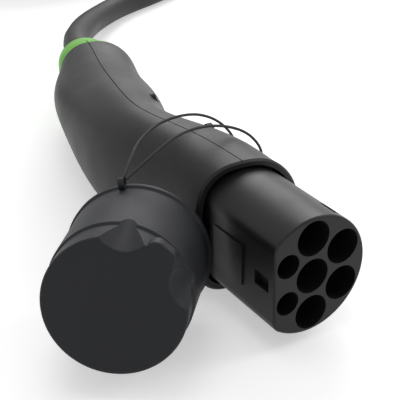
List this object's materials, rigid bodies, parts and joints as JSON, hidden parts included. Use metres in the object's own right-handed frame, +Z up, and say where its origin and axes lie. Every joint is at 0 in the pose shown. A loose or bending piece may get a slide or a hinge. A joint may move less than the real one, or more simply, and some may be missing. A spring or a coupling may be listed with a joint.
{
  "type": "ev charging plug",
  "caption": "Seven-pole charging connector with D-shaped nose, curved grip, green ring, tethered cap and coiled cable to a capped second plug",
  "frame": {"origin": "centre of the nose's mating face, at the mouth of the earth socket", "axes": "+X along the nose, out of the mating face; +Z up, with the plug lying on its side; the nose's flat faces -Y"},
  "size_m": [0.6863, 0.3673, 0.0716],
  "materials": {
    "housing_plastic": "fine satin texture, moulded",
    "nose_plastic": "smooth satin moulding",
    "cap_rubber": "soft matte",
    "cable_jacket": "matte",
    "seal_rubber": "matte",
    "ring_green": "satin",
    "lanyard_cord": "thin cord",
    "contact_metal": "silver plated",
    "screw_steel": "zinc plated",
    "wire_green_yellow": "insulation",
    "wire_blue": "insulation",
    "wire_brown": "insulation",
    "wire_black": "insulation",
    "wire_grey": "insulation",
    "wire_white": "insulation"
  },
  "bodies": {
    "root": {"cable": "cable_jacket", "cable_coil": "cable_jacket", "cable_seal": "seal_rubber", "cap_lanyard": "lanyard_cord", "clamp_saddle_lower": "nose_plastic", "clamp_saddle_upper": "nose_plastic", "clamp_screws": "screw_steel", "contact_carrier": "nose_plastic", "contact_retainer": "nose_plastic", "earth_contact": "contact_metal", "earth_wire": "wire_green_yellow", "far_cable": "cable_jacket", "far_plug_cap": "cap_rubber", "far_plug_housing": "housing_plastic", "far_plug_ring": "ring_green", "flat_side_shell": "housing_plastic", "green_ring": "ring_green", "housing_screws": "screw_steel", "line_1_contact": "contact_metal", "line_1_wire": "wire_brown", "line_2_contact": "contact_metal", "line_2_wire": "wire_black", "line_3_contact": "contact_metal", "line_3_wire": "wire_grey", "neutral_contact": "contact_metal", "neutral_wire": "wire_blue", "nose_cap": "cap_rubber", "nose_seal": "seal_rubber", "pilot_contact": "contact_metal", "pilot_wire": "wire_white", "proximity_contact": "contact_metal", "proximity_wire": "wire_white", "round_side_shell": "housing_plastic"}
  },
  "joints": []
}
